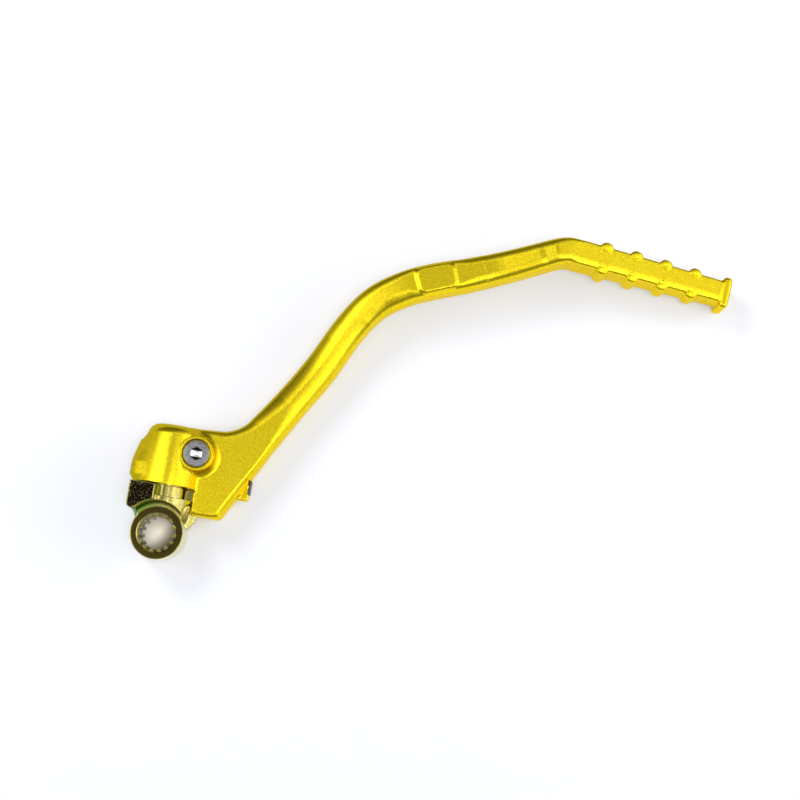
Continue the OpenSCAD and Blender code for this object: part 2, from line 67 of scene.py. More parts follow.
# Bulge over ball and spring: y, radius
BULGE = np.array([(20, 1.0), (22.3, 2.7), (25.3, 5.4), (31.3, 5.4), (34.9, 4.6), (41.3, 2.27), (42.7, 0.0),
                  (52, -12)])
SCREW = (12.0, 38.2)
SHANK_R, HEAD_R, HEAD_H = 4.0, 6.25, 4.6
# Play of the shank in its hole in the arm and in the post's groove
HOLE_PLAY, GROOVE_PLAY = 0.08, 0.15
BOSS_R, BOSS_DRAFT, BOSS_TOP, COVE_R, SEAT_Z = 7.8, 0.7, 26.5, 2.7, 20.8
# Room round the screw's head, and how far the skin's top lies under the boss's turned rim
HEAD_GAP, RIM_SINK = 0.55, 0.12
SHANK_END = 3.1
LUG_X, LUG_NEAR, LUG_Z, LUG_H = 37.4, 21.5, 1.7, 7.6
LUG = [(30, 35.3), (28, LUG_NEAR), (LUG_X, LUG_NEAR), (37.7, 31.3), (36.8, 35.3)]
LUG_POCKET, LUG_POCKET_DEEP = [(33.2, 23.2), (36, 23.5), (36.6, 30.9), (36, 31.5)], 0.9
BUFFER_Y, BUFFER_L, BUFFER_T = 27.7, 6.4, 1.1
# Pad: its station, length, rise, gaps to its ends and sides, corner radius and the reach of its soft walls
PAD_PLACE, PAD_L, PAD_RISE = 8.06, 18.5, 0.9
PAD_END_GAP, PAD_SIDE_GAP, PAD_CORNER, PAD_WALL = 1.0, 2.0, 2.8, (-0.2, 1.9)
# Pedal: length, and width, depth and top height at the knee and at its end
PEDAL_L, PEDAL_W, PEDAL_D = 73.4, (11.7, 10.3), (19.0, 12.6)
PEDAL_TOP = (27.3, 16.0)
PEDAL_DIR = np.array([0.9972, -0.0744])
RIB_FIRST, RIB_PITCH, RIB_COUNT, RIB_HALF, RIB_H = 11.3, 14.6, 4, 2.9, 2.1
RIB_RISE, RIB_REACH, RIB_FILLET = 0.55, 2.6, 0.7
FLANGE_T, FLANGE_H, FLANGE_RISE, FLANGE_LOW = 4.6, 2.6, 1.6, 0.1
FLANGE_CROWN, FLANGE_ROUND = 0.005, 1.7
GUSSET = [(3, 50), (3, 10.6), (26.4, 10.6), (48.6, 52.0), (33, 52)]
GUSSET_R, GUSSET_TUCK, GUSSET_FILLET = 2.2, 1.5, (0.2, 6.0)
# Edge radii of the forging's top: on the far side, at the gusset's near edge, at the knee and on the pedal
FAR_EDGE, GUSSET_EDGE, KNEE_EDGE, PEDAL_EDGE = 1.6, 2.0, 2.6, 1.1
# Arm stations: x, y, rise over the flat face, width, depth, edge radius
STATIONS = np.array([
    [24.9, 28.9, 0.0, 16.0, 15.4, 6.2], [31.6, 39.9, 0.0, 17.6, 15.4, 6.2],
    [38.3, 51.0, 0.0, 17.0, 15.4, 5.8], [49.3, 68.8, 0.0, 15.5, 15.4, 5.6],
    [60.6, 87.7, 0.4, 15.4, 15.4, 5.6], [71.0, 108.3, 3.2, 15.1, 15.4, 5.2],
    [81.0, 122.0, 6.0, 15.1, 15.4, 4.8], [93.6, 130.9, 7.6, 15.1, 15.6, 4.0],
    [107.0, 136.9, 8.0, 15.0, 15.8, 3.4], [120.6, 141.7, 8.0, 14.5, 16.0, 3.2],
    [134.0, 147.0, 8.7, 13.7, 16.8, 3.0], [147.4, 152.6, 10.2, 12.9, 17.8, 3.0],
    [160.0, 158.2, 11.6, 12.2, 18.8, 3.0], [166.6, 160.3, 11.3, 12.0, 19.0, 2.9],
    [172.4, 160.0, 10.8, 11.7, 19.0, 2.8], [178.4, 159.6, 10.0, 11.6, 18.5, 2.8]])
# Points of the smooth line from one station to the next, and points along the straight pedal
LINE_STEPS, PEDAL_STEPS = 24, 60
KNEE = STATIONS[-2, :2]


# Solids as fields: a number for each point, negative inside, in millimetres

def rounded_max(a, b, r):
    """What two solids share, the edge between them rounded to r."""
    return np.minimum(np.maximum(a, b), -r) + np.hypot(np.maximum(a + r, 0), np.maximum(b + r, 0))


def rounded_min(a, b, r):
    """Two solids joined, the corner between them filled to a fillet of r."""
    return -rounded_max(-a, -b, r)


def ease(v, low, high):
    """0 below low, 1 above high and a smooth S between them."""
    t = np.clip((v - low) / (high - low), 0, 1)
    return t * t * (3 - 2 * t)


def rounded_polygon(x, y, corners, r):
    """Distance in plan to an anticlockwise convex outline whose corners are rounded to r."""
    c = np.array(corners, float)
    n = len(c)
    d = np.roll(c, -1, 0) - c
    d /= np.hypot(*d.T)[:, None]
    out = np.stack([d[:, 1], -d[:, 0]], 1)
    reach = (out * c).sum(1) - r
    inner = []
    for i in range(n):
        pair = np.array([out[i - 1], out[i]])
        inner.append(np.linalg.solve(pair, [reach[i - 1], reach[i]]))
    inner = np.array(inner)
    inside = np.max([out[i][0] * x + out[i][1] * y - reach[i] for i in range(n)], axis=0)
    edge = np.full(x.shape, 1e9)
    for i in range(n):
        a, b = inner[i], inner[(i + 1) % n]
        s = np.clip(((x - a[0]) * (b[0] - a[0]) + (y - a[1]) * (b[1] - a[1])) / ((b - a) ** 2).sum(), 0, 1)
        edge = np.minimum(edge, np.hypot(x - a[0] - s * (b[0] - a[0]), y - a[1] - s * (b[1] - a[1])))
    return np.where(inside > 0, edge, inside) - r


def rounded_box(a, b, c, r):
    """A box given by its distances to three pairs of faces, all edges rounded to r."""
    p, q, s = a + r, b + r, c + r
    return (np.minimum(np.maximum(np.maximum(p, q), s), 0)
            + np.sqrt(np.maximum(p, 0) ** 2 + np.maximum(q, 0) ** 2 + np.maximum(s, 0) ** 2) - r)


def between(a, b, share):
    """a where the share is 0, b where it is 1, and in a straight line between."""
    return a + (b - a) * share


def smooth_line(stations, steps=LINE_STEPS):
    """Points of the smooth curve through the stations, with all their values carried along."""
    p = np.vstack([stations[:1], stations, stations[-1:]])
    u = np.arange(steps)[:, None] / steps
    spans = []
    for k in range(1, len(p) - 2):
        first = p[k + 1] - p[k - 1]
        second = 2 * p[k - 1] - 5 * p[k] + 4 * p[k + 1] - p[k + 2]
        third = 3 * p[k] - p[k - 1] - 3 * p[k + 1] + p[k + 2]
        spans.append(0.5 * (2 * p[k] + first * u + second * u ** 2 + third * u ** 3))
    return np.vstack(spans + [stations[-1:]])


def whole_line():
    """Middle line of arm and pedal in one: x, y, rise, width, depth and edge radius, with its lengths."""
    arm = smooth_line(STATIONS)[:LINE_STEPS * (len(STATIONS) - 2)]
    k = np.linspace(0, 1, PEDAL_STEPS)[:, None]
    rise = between(PEDAL_TOP[0], PEDAL_TOP[1], k) - FACE_Z
    pedal = np.hstack([KNEE + PEDAL_DIR * PEDAL_L * k, rise, between(*PEDAL_W, k), between(*PEDAL_D, k),
                       KNEE_EDGE + 0 * k])
    line = np.vstack([arm, pedal])
    return line, np.concatenate([[0], np.cumsum(np.hypot(*np.diff(line[:, :2], axis=0).T))])


LINE, LINE_AWAY = whole_line()
KNEE_AWAY = LINE_AWAY[LINE_STEPS * (len(STATIONS) - 2)]
PAD_AWAY = LINE_AWAY[round(LINE_STEPS * PAD_PLACE)]
# The top's own profile round the knee: distance past the knee point, height over the bench
KNEE_TOP = np.array([
    (-46.0, 24.5), (-43.0, 24.55), (-40.0, 24.75), (-37.0, 25.08), (-19.9, 27.5), (-17.4, 27.6),
    (-12.3, 28.4), (-10.7, 28.45), (-9.4, 28.25), (PEDAL_L, PEDAL_TOP[1])])

# How the top falls to each edge: station, width and drop on the far side, then width, drop and edge radius
# on the near side
FALLS = np.array([
    [0.0, 3.0, 0.5, 3.4, 0.8, 3.2], [2.3, 6.0, 1.8, 4.4, 0.8, 3.2], [3.0, 8.4, 3.4, 8.4, 1.2, 3.2],
    [4.6, 8.4, 3.6, 9.0, 1.3, 3.2], [5.4, 6.6, 2.8, 6.8, 1.7, 2.6], [6.2, 4.8, 1.9, 7.4, 3.2, 3.0],
    [7.0, 3.8, 1.3, 6.4, 2.6, 3.0], [7.6, 2.6, 0.7, 3.0, 0.7, 2.6], [8.6, 2.6, 0.7, 3.0, 0.7, 2.6],
    [9.3, 4.2, 1.4, 5.2, 1.2, 2.6], [12.0, 4.2, 1.5, 5.2, 1.2, 2.6], [13.4, 2.6, 0.6, 3.8, 0.9, 1.6],
    [14.0, 1.0, 0.0, 3.8, 0.5, 0.8]])
FALL_AWAY = [LINE_AWAY[round(LINE_STEPS * t)] for t in FALLS[:, 0]]


def along_arm(x, y):
    """Nearest place on the middle line: distance along it, and distance off it, positive to its left."""
    lx, ly = LINE[:, 0], LINE[:, 1]
    # a first guess from the line's general direction, then short steps along its tangent
    s = np.interp(x * 0.62 + y * 0.38, lx * 0.62 + ly * 0.38, LINE_AWAY)
    for _ in range(7):
        px, py = np.interp(s, LINE_AWAY, lx), np.interp(s, LINE_AWAY, ly)
        tx = np.interp(s + 0.4, LINE_AWAY, lx) - np.interp(s - 0.4, LINE_AWAY, lx)
        ty = np.interp(s + 0.4, LINE_AWAY, ly) - np.interp(s - 0.4, LINE_AWAY, ly)
        t = np.hypot(tx, ty)
        s = np.clip(s + np.clip(((x - px) * tx + (y - py) * ty) / t, -15, 15) * 0.85, 0, LINE_AWAY[-1])
    px, py = np.interp(s, LINE_AWAY, lx), np.interp(s, LINE_AWAY, ly)
    return s, np.where((y - py) * tx > (x - px) * ty, 1, -1) * np.hypot(x - px, y - py)


def pad_height(away, side):
    """Height of the pad over the arm's top: a low flat with soft walls, rounded at its corners."""
    rim = rounded_max(np.abs(away - PAD_AWAY) - PAD_L / 2 + PAD_END_GAP, side + PAD_SIDE_GAP, PAD_CORNER)
    return PAD_RISE * (1 - ease(rim, *PAD_WALL))


def pedal_ribs(past, side):
    """Ribs in plan: half ellipses on both edges of the pedal, at an even pitch."""
    nearest = RIB_FIRST + RIB_PITCH * np.clip(np.round((past - RIB_FIRST) / RIB_PITCH), 0, RIB_COUNT - 1)
    return (np.hypot((past - nearest) / RIB_HALF, np.maximum(side, -1.5) / RIB_H) - 1) * (RIB_HALF + RIB_H) / 2


def end_flange(x, y, z, far):
    """Flange across the pedal's end: an upright plate with a slightly crowned outer face."""
    along = (x - KNEE[0]) * PEDAL_DIR[0] + (y - KNEE[1]) * PEDAL_DIR[1]
    beside = np.abs((y - KNEE[1]) * PEDAL_DIR[0] - (x - KNEE[0]) * PEDAL_DIR[1])
    reach = FLANGE_H - 0.6 * far
    top = PEDAL_TOP[1] + FLANGE_RISE
    return rounded_box(np.abs(along - PEDAL_L + FLANGE_T / 2) - FLANGE_T / 2 + FLANGE_CROWN * beside * beside,
                       beside - PEDAL_W[1] / 2 - reach,
                       np.abs(z - (top + FLANGE_LOW) / 2) - (top - FLANGE_LOW) / 2, FLANGE_ROUND)


def barrel_part(x, y, z, q):
    """Barrel round the post, slimmer to its rounded far end, with the bulge over ball and spring."""
    taper = BARREL_TAPER * np.clip((y - 24) / 26, 0, 1.1) ** 2
    barrel = rounded_max(q - BARREL_R + taper, y - BARREL_FAR, BARREL_ROUND)
    bulge = (np.hypot(x - BULGE_X, z - PIVOT_Z) - np.interp(y, *BULGE.T)) * 0.9
    return np.maximum(rounded_min(barrel, bulge, 5.0), BARREL_Y - y)


def bar_part(x, y, z):
    """Gusset, S-shaped arm, pad and ribbed pedal: a plan outline between a falling top and a flat underside."""
    away, across = along_arm(x, y)
    rise, width, depth, edge = [np.interp(away, LINE_AWAY, LINE[:, k]) for k in range(2, 6)]
    side = np.abs(across) - width / 2
    far = across > 0
    past = away - KNEE_AWAY
    low = FACE_Z + rise - depth
    top = np.where(past < KNEE_TOP[0, 0], FACE_Z + rise, np.interp(past, *KNEE_TOP.T))
    # plan outline of arm and gusset, then the top's fall towards each edge, which fades by the ear
    gusset = rounded_polygon(x, y, GUSSET, GUSSET_R) + GUSSET_TUCK * ease(y, 40, 54) * (across < 0)
    outline = rounded_min(gusset, side, between(*GUSSET_FILLET, ease(across, -3, 4)))
    by_ear = (1 - ease(y, 12, 17)) * (1 - ease(x, 22, 27))
    fall = [np.interp(away, FALL_AWAY, FALLS[:, k]) for k in range(1, 6)]
    fall_width = np.where(far, fall[0], fall[2])
    drop = np.where(far, fall[1], fall[3] * (1 - by_ear))
    top = top - drop * np.clip(np.minimum(outline, 0.3) / fall_width + 1, 0, 1.15) ** 2
    edge = np.where(far, np.minimum(edge, FAR_EDGE), fall[4])
    edge = between(edge, GUSSET_EDGE, by_ear)
    edge = between(edge, PEDAL_EDGE, ease(past, -6, 4))
    top = top + pad_height(away, side)
    # the ribs stand a little over the tread
    rib = pedal_ribs(past, side)
    top = top + RIB_RISE * (1 - ease(rib, -2.0, 0.4)) * (side > -RIB_REACH)
    plan = rounded_min(np.maximum(outline, past - PEDAL_L + 1), rib, RIB_FILLET)
    bar = rounded_max(plan, np.maximum(z - top, low - z), edge)
    return rounded_min(bar, end_flange(x, y, z, far), 1.0)


def arm_cuts(body, x, y, z, q, rho):
    """The arm less its room for the neck, bores, counterbore, room for the ear, lug pocket and buffer seat."""
    body = rounded_max(body, -np.maximum(y - BARREL_Y, np.minimum(q - SWING_R, x - SWING_R + 0.05)), 0.25)
    body = np.maximum(body, -np.maximum(q - BORE_R, y - BORE_END))
    body = np.maximum(body, -np.maximum(np.hypot(x - BALL_X, z - PIVOT_Z) - BALL_HOLE_R, y - BALL_HOLE_FAR))
    body = np.maximum(body, -(rho - SHANK_R - HOLE_PLAY))
    body = np.maximum(body, -np.maximum(rho - HEAD_R - HEAD_GAP, SEAT_Z - 0.15 - z))
    body = np.maximum(body, -np.maximum(np.maximum(x - EAR_ROOM[0], y - EAR_ROOM[1]), z - EAR_TOP - EAR_GAP))
    pocket = rounded_polygon(x, y, LUG_POCKET, 0.4)
    body = np.maximum(body, -np.maximum(pocket, LUG_Z + LUG_H - LUG_POCKET_DEEP - z))
    seat = np.maximum(np.abs(y - BUFFER_Y) - BUFFER_L / 2 - 0.1, LUG_X - BUFFER_T / 2 - x)
    return np.maximum(body, -seat)


def arm_field(p):
    """Forged arm in one skin: barrel, bulge, gusset, lug, boss, curved arm, pad, ribbed pedal and flange."""
    x, y, z = p.T
    q = np.hypot(x, z - PIVOT_Z)
    body = rounded_min(bar_part(x, y, z), barrel_part(x, y, z, q), between(0.3, 1.5, ease(z, 7, 11)))
    lug = rounded_max(rounded_polygon(x, y, LUG, 1.2), np.abs(z - LUG_Z - LUG_H / 2) - LUG_H / 2, 0.6)
    body = rounded_min(body, lug, 1.0)
    # boss with its cove, which dies out up the boss's wall
    rho = np.hypot(x - SCREW[0], y - SCREW[1])
    draft = BOSS_R + BOSS_DRAFT * (BOSS_TOP - z) / (BOSS_TOP - FACE_Z + COVE_R)
    boss = np.maximum(np.maximum(rho - draft, z - BOSS_TOP + RIM_SINK), 10 - z)
    body = rounded_min(body, boss, between(COVE_R, 0.4, ease(z, 19.5, 24.5)))
    return arm_cuts(body, x, y, z, q, rho)


def knuckle_field(p):
    """Steel knuckle: splined hub, neck, stop block, stop ear, collar and post, with the milled bolt face."""
    x, y, z = p.T
    rho = np.hypot(x, y)
    q = np.hypot(x, z - PIVOT_Z)
    # the hub is carried up past its face, which the milled cut then makes
    hub_full = HUB_H / 2 + 2
    hub = rounded_max(rho - HUB_R, np.abs(z - hub_full) - hub_full, 0.4)
    neck = np.maximum(rounded_max(q - np.interp(y, [2, 9], [NECK_ROOT_R, NECK_R]), y - NECK_Y, 0.4), 2 - y)
    body = rounded_min(hub, neck, 1.2)
    left = np.maximum(BLOCK_LEFT - x, x * BLOCK_SLANT[0] - (z - PIVOT_Z) * BLOCK_SLANT[1])
    plan = rounded_max(left, BLOCK_NEAR - y, 2.6)
    block = rounded_max(np.maximum(rounded_max(plan, x - BLOCK_RIGHT, 0.8), y - BLOCK_FAR), z - BLOCK_TOP, 0.9)
    body = rounded_min(body, block, 1.5)
    # the ear's top falls towards its near right corner
    ear_top = EAR_TOP - EAR_FALL * np.maximum(0, (x - 9) * 0.8 - (y - 12) * 0.6)
    ear = rounded_max(rounded_polygon(x, y, EAR, EAR_ROUND), np.maximum(-z, z - ear_top), 0.5)
    pocket = np.maximum(np.hypot(x - EAR_POCKET[0], y - EAR_POCKET[1]) - EAR_POCKET_R, EAR_TOP - z)
    recess = np.maximum(np.maximum(COLLAR_Y - y, COLLAR_R - q),
                        np.maximum(PIVOT_Z - COLLAR_LOW - z, BLOCK_RIGHT - x))
    body = rounded_max(body, -pocket, 0.3)
    body = rounded_max(body, -recess, 0.3)
    body = rounded_min(body, ear, 0.4)
    # post with the screw's groove and the seal's groove, then the ball's track on the shoulder
    post = rounded_max(q - POST_R, y - POST_END, 1.0)
    post = np.maximum(np.maximum(post, 19 - y), -(np.hypot(q - SCREW[0], y - SCREW[1]) - SHANK_R - GROOVE_PLAY))
    post = np.maximum(post, -np.maximum(np.abs(y - SEAL_Y) - SEAL_HALF, SEAL_FLOOR_R - q))
    body = np.minimum(body, post)
    body = np.maximum(body, -(np.hypot(q - BALL_TRACK_R, y - BALL_TRACK_Y) - BALL_TRACK_ROUND))
    # milled bolt face with its leaning wall
    wall = SPOT_R + SPOT_LEAN * np.clip((z - SPOT_LEAN_Z) / SPOT_LEAN_H, 0, 1)
    body = rounded_max(body, -rounded_max(HUB_H - z, rho - wall, SPOT_ROUND), 0.4)
    # splined bore: the round hole less its teeth
    turn = 2 * np.pi / TEETH
    angle = np.mod(np.arctan2(y, x) + turn / 2, turn) - turn / 2
    a, b = rho * np.cos(angle), np.abs(rho * np.sin(angle))
    flank = TOOTH_TIP_HALF + TOOTH_SPREAD * np.clip((a - TIP_R) / (ROOT_R + 0.5 - TIP_R), 0, 1)
    tooth = np.maximum(b - flank, TIP_R - a)
    tooth = np.maximum(tooth, np.abs(z - (MOUTH_H + HUB_H - 0.5) / 2) - (HUB_H - 0.5 - MOUTH_H) / 2)
    hole = np.maximum(rho - ROOT_R - np.clip(z - HUB_H + 0.55, 0, 0.6), -tooth)
    hole = np.minimum(hole, np.maximum(rho - MOUTH_R, z - MOUTH_H))
    return np.maximum(body, -hole)


def buffer_field(p):
    """Rubber buffer: a softened plate on a round stem."""
    x, y, z = p.T
    mid = LUG_Z + LUG_H / 2
    plate = rounded_box(np.abs(x - LUG_X) - BUFFER_T / 2, np.abs(y - BUFFER_Y) - BUFFER_L / 2,
                        np.abs(z - mid) - LUG_H / 2, 0.3)
    stem = np.maximum(np.hypot(y - BUFFER_Y, z - mid) - 1.5, np.maximum(LUG_X - 2.45 - x, x - LUG_X))
    return rounded_min(plate, stem, 0.15)


# Skin of a field

def slope(field, p, h):
    """Unit outward direction of the field at each point, from four samples."""
    t = np.array([[1, 1, 1], [1, -1, -1], [-1, 1, -1], [-1, -1, 1]], float)
    n = sum(field(p + h * k)[:, None] * k for k in t)
    return n / np.maximum(np.linalg.norm(n, axis=1), 1e-9)[:, None]


def in_parts(work, p, size=300000):
    """The same work done on the points a part at a time, to save memory."""
    return np.concatenate([work(p[i:i + size]) for i in range(0, len(p), size)])


def skin(field, low, high, cell, coarse=4):
    """Mesh of a field's surface. Each grid cell that the surface crosses gets one point, set where the tangent
    planes of its crossings meet, so that edges stay crisp; each crossed grid edge gets one face."""
    low = np.array(low, float)
    count = np.ceil((np.array(high) - low) / (cell * coarse)).astype(int)
    big = cell * coarse
    ticks = [low[i] + big * np.arange(count[i] + 1) for i in range(3)]
    nodes = np.stack(np.meshgrid(*ticks, indexing="ij"), -1)
    rough = np.abs(in_parts(field, nodes.reshape(-1, 3)).reshape(nodes.shape[:3]))
    least = np.min([rough[i:i + count[0], j:j + count[1], k:k + count[2]]
                    for i in (0, 1) for j in (0, 1) for k in (0, 1)], axis=0)
    # only the coarse blocks near the surface are worked out finely
    keep = least < big * 1.05
    for axis in range(3):
        keep = np.repeat(keep, coarse, axis)
    wanted = np.zeros(np.array(keep.shape) + 1, bool)
    for i in (0, 1):
        for j in (0, 1):
            for k in (0, 1):
                wanted[i:i + keep.shape[0], j:j + keep.shape[1], k:k + keep.shape[2]] |= keep
    index = np.argwhere(wanted)
    value = np.full(wanted.shape, 9.0, np.float32)
    value[tuple(index.T)] = in_parts(field, low + index * cell)
    shape = np.array(wanted.shape)
    points, normals, owners, quads = [], [], [], []
    for axis in range(3):
        step = np.eye(3, dtype=int)[axis]
        first = tuple(slice(0, n - s) for n, s in zip(shape, step))
        last = tuple(slice(s, n) for n, s in zip(shape, step))
        a, b = value[first], value[last]
        both = wanted[first] & wanted[last]
        start = np.argwhere(both & ((a < 0) != (b < 0)))
        fa, fb = a[tuple(start.T)].astype(float), b[tuple(start.T)].astype(float)
        origin = low + start * cell
        # close in on the crossing from both ends of the grid edge
        t0, t1 = np.zeros(len(fa)), np.ones(len(fa))
        g0, g1 = fa.copy(), fb.copy()
        for _ in range(3):
            t = np.clip(t0 + (t1 - t0) * g0 / (g0 - g1), t0 + 0.02 * (t1 - t0), t1 - 0.02 * (t1 - t0))
            g = in_parts(field, origin + (t * cell)[:, None] * step)
            same = (g < 0) == (g0 < 0)
            t0, g0 = np.where(same, t, t0), np.where(same, g, g0)
            t1, g1 = np.where(same, t1, t), np.where(same, g1, g)
        t = t0 + (t1 - t0) * g0 / (g0 - g1 + 1e-30)
        cross = origin + (t * cell)[:, None] * step
        lean = in_parts(lambda p: slope(field, p, 0.06 * cell), cross)
        o1, o2 = np.eye(3, dtype=int)[(axis + 1) % 3], np.eye(3, dtype=int)[(axis + 2) % 3]
        around = [start - o1 - o2, start - o2, start, start - o1]
        flat = np.stack([np.ravel_multi_index(tuple(c.T), shape) for c in around], 1)
        flat[fa > 0] = flat[fa > 0][:, ::-1]
        quads.append(flat)
        for c in range(4):
            points.append(cross)
            normals.append(lean)
            owners.append(flat[:, c])
    points, normals, owners = np.concatenate(points), np.concatenate(normals), np.concatenate(owners)
    used, where = np.unique(owners, return_inverse=True)
    number = np.bincount(where).astype(float)

    def gather(v):
        """Sum of a value over the crossings of each cell."""
        return np.bincount(where, v, len(used))

    middle = np.stack([gather(points[:, i]) for i in range(3)], 1) / number[:, None]
    part = points - middle[where]
    pull = (normals * part).sum(1)
    right = np.stack([gather(normals[:, i] * pull) for i in range(3)], 1)
    matrix = np.empty((len(used), 3, 3))
    for i in range(3):
        for j in range(3):
            matrix[:, i, j] = gather(normals[:, i] * normals[:, j])
    # a light pull to the crossings' middle keeps flat cells in place
    matrix += np.eye(3) * 0.06
    spot = middle + np.linalg.solve(matrix, right[:, :, None])[:, :, 0]
    corner = low + np.stack(np.unravel_index(used, shape), 1) * cell
    spot = np.clip(spot, corner, corner + cell)
    faces = np.searchsorted(used, np.concatenate(quads))
    return spot, faces


def mesh_object(name, points, faces, normals=None):
    """Object at the origin from points in millimetres and faces of four (or, with -1, three) corners."""
    mesh = bpy.data.meshes.new(name)
    mesh.vertices.add(len(points))
    mesh.vertices.foreach_set("co", (points * MM).astype(np.float32).ravel())
    sizes = (faces >= 0).sum(1)
    flat = faces.ravel()[faces.ravel() >= 0]
    mesh.loops.add(len(flat))
    mesh.loops.foreach_set("vertex_index", flat.astype(np.int32))
    mesh.polygons.add(len(faces))
    mesh.polygons.foreach_set("loop_start", np.concatenate([[0], np.cumsum(sizes)[:-1]]).astype(np.int32))
    mesh.polygons.foreach_set("loop_total", sizes.astype(np.int32))
    mesh.update(calc_edges=True)
    mesh.validate()
    mesh.polygons.foreach_set("use_smooth", np.ones(len(faces), bool))
    if normals is not None:
        mesh.normals_split_custom_set(normals.astype(np.float32))
    obj = bpy.data.objects.new(name, mesh)
    bpy.context.scene.collection.objects.link(obj)
    return obj


def field_object(name, field, low, high, cell, extra=()):
    """Object with a field's skin. Each face corner takes its normal from the field a little way into its own
    face, so rounds shade smoothly and creases stay sharp. Extra meshes with their own normals join it."""
    spot, faces = skin(field, low, high, cell)
    corner = spot[faces]
    inward = corner * 0.7 + corner.mean(1, keepdims=True) * 0.3
    normal = in_parts(lambda p: slope(field, p, 0.05 * cell), inward.reshape(-1, 3))
    points, normals = [spot], [normal]
    stack = [faces]
    total = len(spot)
    for p, f, n in extra:
        points.append(p)
        stack.append(f + total)
        normals.append(n[f.ravel()])
        total += len(p)
    return mesh_object(name, np.vstack(points), np.vstack(stack), np.vstack(normals))


def ring_faces(rings, around):
    """Faces between rings of points, each ring with the same number of points around."""
    i, j = np.meshgrid(np.arange(rings - 1), np.arange(around), indexing="ij")
    k = (j + 1) % around
    here, beside = i * around + j, i * around + k
    return np.stack([here, beside, beside + around, here + around], -1).reshape(-1, 4)


def turned(profile, centre, around=96):
    """Surface of a profile (radius, height) carried round an upright axis at centre, with its normals."""
    prof = np.array(profile, float)
    a = np.arange(around) * 2 * np.pi / around
    r, z = prof[:, 0][:, None], prof[:, 1][:, None]
    points = np.stack([centre[0] + r * np.cos(a), centre[1] + r * np.sin(a), z + 0 * a], -1).reshape(-1, 3)
    d = np.gradient(prof, axis=0)
    out = np.stack([d[:, 1], -d[:, 0]], 1)
    out /= np.maximum(np.hypot(*out.T), 1e-9)[:, None]
    outward, up = out[:, 0][:, None], out[:, 1][:, None]
    normal = np.stack([outward * np.cos(a), outward * np.sin(a), up + 0 * a], -1)
    return points, ring_faces(len(prof), around), normal.reshape(-1, 3)


def rounded_profile(corners, radii, steps=5):
    """Open profile with each inner corner turned into an arc-like curve of the given reach."""
    c = [np.array(v, float) for v in corners]
    path = [c[0]]
    for i in range(1, len(c) - 1):
        before, after = c[i - 1] - c[i], c[i + 1] - c[i]
        r = min(radii[i], 0.48 * np.linalg.norm(before), 0.48 * np.linalg.norm(after))
        a, b = c[i] + before / np.linalg.norm(before) * r, c[i] + after / np.linalg.norm(after) * r
        for t in np.linspace(0, 1, steps + 1):
            path.append(a * (1 - t) ** 2 + c[i] * 2 * t * (1 - t) + b * t * t)
    path.append(c[-1])
    return np.array(path)


# Materials

def linear(code):
    """Linear colour of an sRGB hex value."""
    v = [int(code[i:i + 2], 16) / 255 for i in (0, 2, 4)]
    return [c / 12.92 if c <= 0.04045 else ((c + 0.055) / 1.055) ** 2.4 for c in v] + [1.0]


def add(tree, kind, inputs=None, **settings):
    """One node with its settings; an input is a number, a colour or another node's output."""
    node = tree.nodes.new(kind)
    for key, value in settings.items():
        setattr(node, key, value)
    for key, value in (inputs or {}).items():
        if isinstance(value, bpy.types.NodeSocket):
            tree.links.new(value, node.inputs[key])
        else:
            node.inputs[key].default_value = value
    return node


def new_material(name):
    """Empty material with its shader and output, and the point in object space in millimetres."""
    material = bpy.data.materials.new(name)
    material.use_nodes = True
    tree = material.node_tree
    tree.nodes.clear()
    shader = add(tree, "ShaderNodeBsdfPrincipled")
    add(tree, "ShaderNodeOutputMaterial", {"Surface": shader.outputs[0]})
    place = add(tree, "ShaderNodeTexCoord").outputs["Object"]
    scaled = add(tree, "ShaderNodeVectorMath", {0: place, "Scale": 1000.0}, operation="SCALE").outputs[0]
    return material, tree, shader, scaled


def noise(tree, place, size, detail=2.0, roughness=0.5):
    """Noise whose lumps are about size millimetres across."""
    return add(tree, "ShaderNodeTexNoise", {"Vector": place, "Scale": 1.0 / size, "Detail": detail,
                                            "Roughness": roughness}).outputs["Fac"]


def spread(tree, value, low, high, to_low=0.0, to_high=1.0):
    """Value stretched from one range to another, held at the ends."""
    return add(tree, "ShaderNodeMapRange", {"Value": value, "From Min": low, "From Max": high, "To Min": to_low,
                                            "To Max": to_high}).outputs["Result"]


def times(tree, a, b):
    """Product of two values."""
    return add(tree, "ShaderNodeMath", {0: a, 1: b}, operation="MULTIPLY").outputs[0]


def tint(tree, factor, a, b):
    """Mix of two colours by a factor."""
    node = add(tree, "ShaderNodeMix", {"Factor": factor}, data_type="RGBA")
    for key, value in ((6, a), (7, b)):
        if isinstance(value, bpy.types.NodeSocket):
            tree.links.new(value, node.inputs[key])
        else:
            node.inputs[key].default_value = value
    return node.outputs[2]


